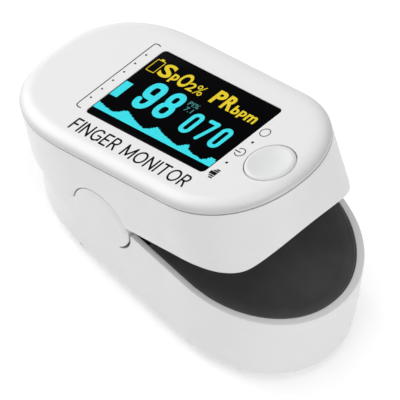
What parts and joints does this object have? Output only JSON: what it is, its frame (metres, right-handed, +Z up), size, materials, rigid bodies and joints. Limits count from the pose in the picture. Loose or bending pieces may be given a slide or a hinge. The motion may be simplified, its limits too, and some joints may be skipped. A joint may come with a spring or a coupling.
{
  "type": "fingertip pulse oximeter",
  "caption": "Spring-clip fingertip pulse oximeter: a display half hinged over a battery half, with a rubber-lined finger inlet, a press button and a sliding battery door.",
  "frame": {"origin": "middle of the resting, open clip's box in plan, on the flat underside of the lower half", "axes": "+X towards the finger inlet, along the finger; +Z up, from the lower half to the display half; Y along the hinge pin, with the far side at +Y"},
  "size_m": [0.0662, 0.032, 0.0413],
  "materials": {
    "white_shell": "light grey-white moulded ABS, satin to glossy",
    "glossy_face": "white, polished",
    "grey_frame": "grey moulded plastic, fine texture",
    "black_rubber": "soft black silicone rubber, matt",
    "black_lens": "black, glass-smooth",
    "black_foam": "black foam tape",
    "green_board": "green solder resist",
    "black_chip": "moulded black epoxy",
    "amber_flex": "amber polyimide film",
    "bright_steel": "bright plated steel",
    "cell_jacket": "dark printed metal jacket",
    "clear_window": "clear moulded window"
  },
  "bodies": {
    "lower_half": {"lower_shell": "white_shell", "battery_near": "cell_jacket", "battery_far": "cell_jacket", "battery_bridge_contact": "bright_steel", "battery_contact_near": "bright_steel", "battery_contact_far": "bright_steel", "battery_spring_near": "bright_steel", "battery_spring_far": "bright_steel", "lower_inner_frame": "grey_frame", "lower_finger_pad": "black_rubber", "finger_stop": "black_rubber", "detector_board": "green_board", "photodiode": "black_chip", "detector_window": "clear_window", "hinge_pin": "bright_steel", "torsion_spring_near": "bright_steel", "torsion_spring_far": "bright_steel", "flex_cable_lower": "amber_flex", "lower_screw_front": "bright_steel", "lower_screw_rear_near": "bright_steel", "lower_screw_rear_far": "bright_steel"},
    "battery_door": {"battery_door": "white_shell"},
    "upper_half": {"upper_shell": "white_shell", "top_face_plate": "glossy_face", "display_lens": "black_lens", "display_gasket": "black_foam", "oled_panel": "black_lens", "oled_bracket": "grey_frame", "oled_ribbon": "amber_flex", "main_circuit_board": "green_board", "microcontroller": "black_chip", "analogue_chip": "black_chip", "crystal": "bright_steel", "flex_connector": "grey_frame", "tactile_switch": "black_chip", "upper_inner_frame": "grey_frame", "upper_finger_pad": "black_rubber", "led_emitter": "clear_window", "emitter_window": "clear_window", "flex_cable_upper": "amber_flex", "upper_screw_rear_near": "bright_steel", "upper_screw_rear_far": "bright_steel", "upper_screw_front_near": "bright_steel", "upper_screw_front_far": "bright_steel"},
    "power_button": {"power_button": "glossy_face", "switch_plunger": "black_chip"}
  },
  "joints": [
    {"name": "jaw_hinge", "type": "hinge", "parent": "lower_half", "child": "upper_half", "pos_m": [-0.00155, 0, 0.0142], "axis": [0, 1, 0], "range_deg": [0, 21], "stiffness_Nm_per_rad": 0.04, "springref_deg": 63.03},
    {"name": "button_press", "type": "slide", "parent": "upper_half", "child": "power_button", "axis": [0.4067, 0, -0.9135], "range_m": [0, 0.0005], "stiffness_N_per_m": 300},
    {"name": "battery_door_slide", "type": "slide", "parent": "lower_half", "child": "battery_door", "axis": [1, 0, 0], "range_m": [0, 0.01]}
  ]
}
